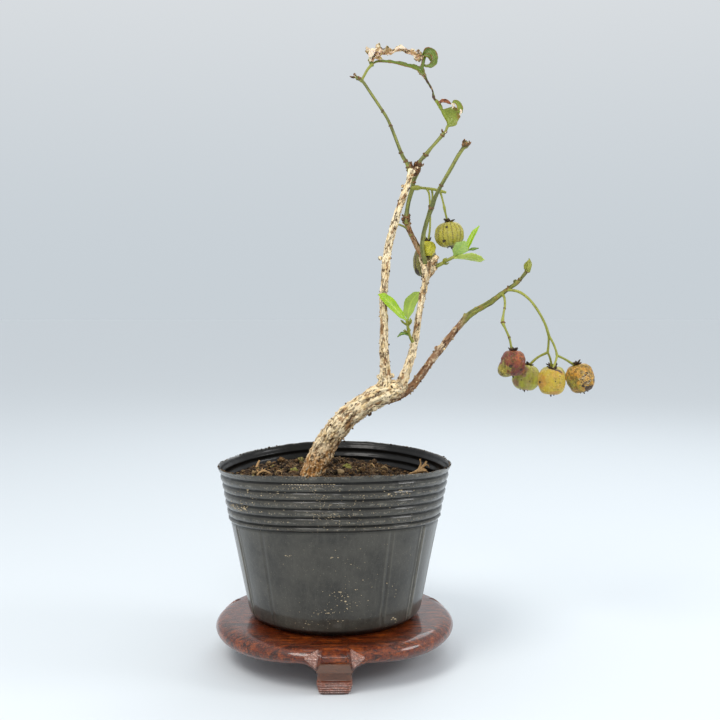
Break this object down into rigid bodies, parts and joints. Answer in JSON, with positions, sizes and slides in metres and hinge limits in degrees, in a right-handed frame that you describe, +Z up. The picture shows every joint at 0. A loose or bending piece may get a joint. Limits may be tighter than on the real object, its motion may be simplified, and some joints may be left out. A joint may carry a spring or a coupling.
{
  "type": "spindle tree bonsai",
  "caption": "Young spindle tree bonsai with ribbed seed capsules and toothed leaves, in a thin ridged round pot on a round wooden stand with carved legs.",
  "frame": {"origin": "middle of the underside of the whole object's box, on the surface that the stand's feet rest on", "axes": "+Z up the trunk, +X to the right of someone who looks at the side with the front leg, +Y away from them; the stand and pot are left of the origin because the fruiting branch reaches right"},
  "size_m": [0.149, 0.0948, 0.24],
  "materials": {
    "stand_wood": "reddish-brown hardwood under glossy varnish",
    "pot_plastic": "thin black moulded plastic, satin, dusty",
    "soil": "loose granules of composted bark, rough",
    "moss": "soft yellow-green moss, matt",
    "pebble": "pale beige stone, matt",
    "root": "dry fibrous root, matt",
    "bark": "cream corky bark with brown fissures, matt",
    "green_bark": "smooth green-grey young bark, satin",
    "bud": "overlapping green scales, satin",
    "stalk": "smooth yellow-green stalk, satin",
    "capsule_red": "blistered dark red skin, satin",
    "capsule_green": "smooth yellow-green skin, satin",
    "capsule_olive": "olive skin with dark stripes, satin",
    "capsule_yellow": "yellow-orange skin with dark specks, satin",
    "capsule_brown": "dry crackled orange-brown skin",
    "shoot": "tender green shoot, satin",
    "leaf_bright": "bright green leaf, satin",
    "leaf_pale": "pale grey-green underside of a leaf, matt",
    "leaf_dark": "dark green leaf, satin",
    "leaf_dry": "dry crumpled leaf, matt"
  },
  "bodies": {
    "root": {"stand": "stand_wood", "pot": "pot_plastic", "soil": "soil", "moss_tuft": "moss", "green_crumb": "moss", "pebble": "pebble", "root_arch": "root", "root_left": "root", "root_right": "root", "trunk_and_branches": "bark", "twig_top_left": "green_bark", "twig_top_right": "green_bark", "twig_long": "green_bark", "bud_right": "bud", "fruit_stalk_upper": "stalk", "fruit_stalk_left": "stalk", "fruit_stalk_right": "stalk", "fruit_red": "capsule_red", "fruit_green": "capsule_green", "fruit_back": "capsule_olive", "fruit_front": "capsule_yellow", "fruit_right": "capsule_brown", "fruit_upper": "capsule_olive", "fruit_small": "capsule_yellow", "fruit_olive": "capsule_olive", "shoot_middle": "shoot", "shoot_upper": "shoot", "leaf_middle_left": "leaf_bright", "leaf_middle_right": "leaf_pale", "leaf_middle_small": "leaf_dark", "leaf_upper_long": "leaf_pale", "leaf_upper_broad": "leaf_pale", "leaf_upper_narrow": "leaf_bright", "leaf_upper_small": "leaf_dark", "leaf_top_green": "leaf_bright", "leaf_top_dried": "leaf_dry", "leaf_top_cup": "leaf_bright"}
  },
  "joints": []
}
